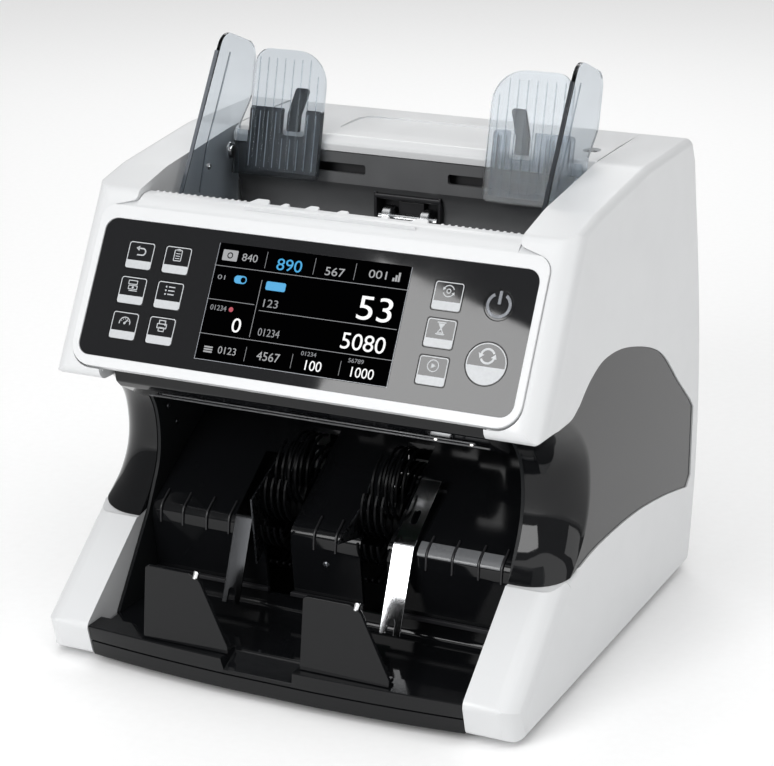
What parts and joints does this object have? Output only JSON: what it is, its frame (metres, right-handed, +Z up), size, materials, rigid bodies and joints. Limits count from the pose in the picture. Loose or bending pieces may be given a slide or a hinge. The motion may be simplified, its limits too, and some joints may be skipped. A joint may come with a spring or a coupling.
{
  "type": "banknote counting machine",
  "caption": "Desktop banknote counter with a tilted black key and display panel, a rear hopper with clear guides, and an open front stacker with finger wheels.",
  "frame": {"origin": "Centre of the footprint's bounding box, on the plane that the rubber feet stand on", "axes": "+X is the machine's right as its user faces it, +Y is the back, +Z is up; the display faces -Y"},
  "size_m": [0.28, 0.2822, 0.3204],
  "materials": {
    "white_plastic": "fine satin moulding",
    "black_gloss_plastic": "polished piano black",
    "painted_steel": "black powder coat",
    "dark_grey_plastic": "fine matt texture",
    "panel_glass": "polished black panel",
    "key_caps": "clear cap with printed back",
    "smoke_clear_plastic": "transparent smoke blue, polished",
    "bright_steel": "bright ground steel",
    "black_rubber": "matt rubber",
    "circuit_board": "green lacquer",
    "metal_case": "plain drawn case",
    "black_satin_plastic": "satin moulding"
  },
  "bodies": {
    "machine": {"base_pan": "black_satin_plastic", "connector_panel": "black_satin_plastic", "control_board": "circuit_board", "control_panel": "panel_glass", "drive_motor": "metal_case", "feed_belt": "black_rubber", "foot_front_left": "black_rubber", "foot_front_right": "black_rubber", "foot_rear_left": "black_rubber", "foot_rear_right": "black_rubber", "front_cover": "white_plastic", "front_lip": "black_gloss_plastic", "hopper_floor": "dark_grey_plastic", "image_sensor": "black_satin_plastic", "lcd_display": "panel_glass", "left_frame_plate": "painted_steel", "left_note_stop": "black_gloss_plastic", "left_side_cover": "white_plastic", "left_side_insert": "black_gloss_plastic", "left_stack_guide": "bright_steel", "main_board": "circuit_board", "pocket_panel": "black_gloss_plastic", "power_inlet": "black_satin_plastic", "power_supply": "metal_case", "rear_cover": "white_plastic", "right_frame_plate": "painted_steel", "right_note_stop": "black_gloss_plastic", "right_side_cover": "white_plastic", "right_side_insert": "black_gloss_plastic", "right_stack_guide": "bright_steel", "stacker_belt": "black_rubber", "throat_bar": "black_gloss_plastic"},
    "lid": {"top_cover": "white_plastic", "hopper_back_plate": "dark_grey_plastic"},
    "thickness_adjuster": {"thickness_screw": "bright_steel"},
    "pinch_roller_body": {"pinch_roller": "bright_steel"},
    "left_guide_body": {"left_guide": "smoke_clear_plastic", "left_guide_bracket": "black_satin_plastic"},
    "right_guide_body": {"right_guide": "smoke_clear_plastic", "right_guide_bracket": "black_satin_plastic"},
    "left_lever_body": {"left_guide_lever": "black_satin_plastic"},
    "right_lever_body": {"right_guide_lever": "black_satin_plastic"},
    "pickup_rollers": {"pickup_shaft": "black_rubber"},
    "feed_rollers": {"feed_shaft": "black_rubber"},
    "motor_drive": {"motor_pulley": "metal_case"},
    "stacker": {"stacker_shaft": "bright_steel", "left_stacker_wheel": "black_satin_plastic", "right_stacker_wheel": "black_satin_plastic"},
    "mains_switch": {"power_switch": "black_satin_plastic"},
    "key_add_body": {"key_add": "key_caps"},
    "key_back_body": {"key_back": "key_caps"},
    "key_batch_body": {"key_batch": "key_caps"},
    "key_currency_body": {"key_currency": "key_caps"},
    "key_menu_body": {"key_menu": "key_caps"},
    "key_mode_body": {"key_mode": "key_caps"},
    "key_power_body": {"key_power": "key_caps"},
    "key_print_body": {"key_print": "key_caps"},
    "key_report_body": {"key_report": "key_caps"},
    "key_restart_body": {"key_restart": "key_caps"},
    "key_speed_body": {"key_speed": "key_caps"}
  },
  "joints": [
    {"name": "lid_hinge", "type": "hinge", "parent": "machine", "child": "lid", "pos_m": [0, 0.10665, 0.2616], "axis": [-1, 0, 0], "range_deg": [0, 60]},
    {"name": "thickness_screw_turn", "type": "hinge", "parent": "lid", "child": "thickness_adjuster", "pos_m": [0.098, 0.05825, 0.255], "axis": [0, 0, 1], "range_deg": [-180, 180]},
    {"name": "pinch_roller_spin", "type": "hinge", "parent": "lid", "child": "pinch_roller_body", "pos_m": [0, 0.03585, 0.2205], "axis": [1, 0, 0], "continuous": true},
    {"name": "left_guide_slide", "type": "slide", "parent": "lid", "child": "left_guide_body", "axis": [1, 0, 0], "range_m": [0, 0.038]},
    {"name": "right_guide_slide", "type": "slide", "parent": "lid", "child": "right_guide_body", "axis": [-1, 0, 0], "range_m": [0, 0.038]},
    {"name": "left_guide_lever_tilt", "type": "hinge", "parent": "left_guide_body", "child": "left_lever_body", "pos_m": [-0.069, 0.03059, 0.26482], "axis": [0, 0.9744, -0.225], "range_deg": [0, 6], "stiffness_Nm_per_rad": 0.05, "springref_deg": -1.15},
    {"name": "right_guide_lever_tilt", "type": "hinge", "parent": "right_guide_body", "child": "right_lever_body", "pos_m": [0.069, 0.03059, 0.26482], "axis": [0, -0.9744, 0.225], "range_deg": [0, 6], "stiffness_Nm_per_rad": 0.05, "springref_deg": -1.15},
    {"name": "feed_shaft_spin", "type": "hinge", "parent": "machine", "child": "feed_rollers", "pos_m": [0, 0.01825, 0.198], "axis": [1, 0, 0], "continuous": true},
    {"name": "pickup_shaft_spin", "type": "hinge", "parent": "machine", "child": "pickup_rollers", "pos_m": [0, -0.02035, 0.2105], "axis": [1, 0, 0], "continuous": true},
    {"name": "motor_spin", "type": "hinge", "parent": "machine", "child": "motor_drive", "pos_m": [0, 0.06325, 0.124], "axis": [1, 0, 0], "continuous": true},
    {"name": "stacker_spin", "type": "hinge", "parent": "machine", "child": "stacker", "pos_m": [0, -0.03875, 0.074], "axis": [1, 0, 0], "continuous": true},
    {"name": "mains_switch_rock", "type": "hinge", "parent": "machine", "child": "mains_switch", "pos_m": [-0.053, 0.13665, 0.0363], "axis": [-1, 0, 0], "range_deg": [0, 18]},
    {"name": "key_add_press", "type": "slide", "parent": "machine", "child": "key_add_body", "axis": [0, 0.8746, -0.4848], "range_m": [0, 0.0008], "stiffness_N_per_m": 500, "springref_m": -0.0005},
    {"name": "key_back_press", "type": "slide", "parent": "machine", "child": "key_back_body", "axis": [0, 0.8746, -0.4848], "range_m": [0, 0.0008], "stiffness_N_per_m": 500, "springref_m": -0.0005},
    {"name": "key_batch_press", "type": "slide", "parent": "machine", "child": "key_batch_body", "axis": [0, 0.8746, -0.4848], "range_m": [0, 0.0008], "stiffness_N_per_m": 500, "springref_m": -0.0005},
    {"name": "key_currency_press", "type": "slide", "parent": "machine", "child": "key_currency_body", "axis": [0, 0.8746, -0.4848], "range_m": [0, 0.0008], "stiffness_N_per_m": 500, "springref_m": -0.0005},
    {"name": "key_menu_press", "type": "slide", "parent": "machine", "child": "key_menu_body", "axis": [0, 0.8746, -0.4848], "range_m": [0, 0.0008], "stiffness_N_per_m": 500, "springref_m": -0.0005},
    {"name": "key_mode_press", "type": "slide", "parent": "machine", "child": "key_mode_body", "axis": [0, 0.8746, -0.4848], "range_m": [0, 0.0008], "stiffness_N_per_m": 500, "springref_m": -0.0005},
    {"name": "key_power_press", "type": "slide", "parent": "machine", "child": "key_power_body", "axis": [0, 0.8746, -0.4848], "range_m": [0, 0.0008], "stiffness_N_per_m": 500, "springref_m": -0.0005},
    {"name": "key_print_press", "type": "slide", "parent": "machine", "child": "key_print_body", "axis": [0, 0.8746, -0.4848], "range_m": [0, 0.0008], "stiffness_N_per_m": 500, "springref_m": -0.0005},
    {"name": "key_report_press", "type": "slide", "parent": "machine", "child": "key_report_body", "axis": [0, 0.8746, -0.4848], "range_m": [0, 0.0008], "stiffness_N_per_m": 500, "springref_m": -0.0005},
    {"name": "key_restart_press", "type": "slide", "parent": "machine", "child": "key_restart_body", "axis": [0, 0.8746, -0.4848], "range_m": [0, 0.0008], "stiffness_N_per_m": 500, "springref_m": -0.0005},
    {"name": "key_speed_press", "type": "slide", "parent": "machine", "child": "key_speed_body", "axis": [0, 0.8746, -0.4848], "range_m": [0, 0.0008], "stiffness_N_per_m": 500, "springref_m": -0.0005}
  ],
  "couplings": [
    {"joint": "pickup_shaft_spin", "follows": "feed_shaft_spin", "ratio": 1.4667},
    {"joint": "motor_spin", "follows": "feed_shaft_spin", "ratio": 1.375},
    {"joint": "stacker_spin", "follows": "feed_shaft_spin", "ratio": 1.375}
  ]
}
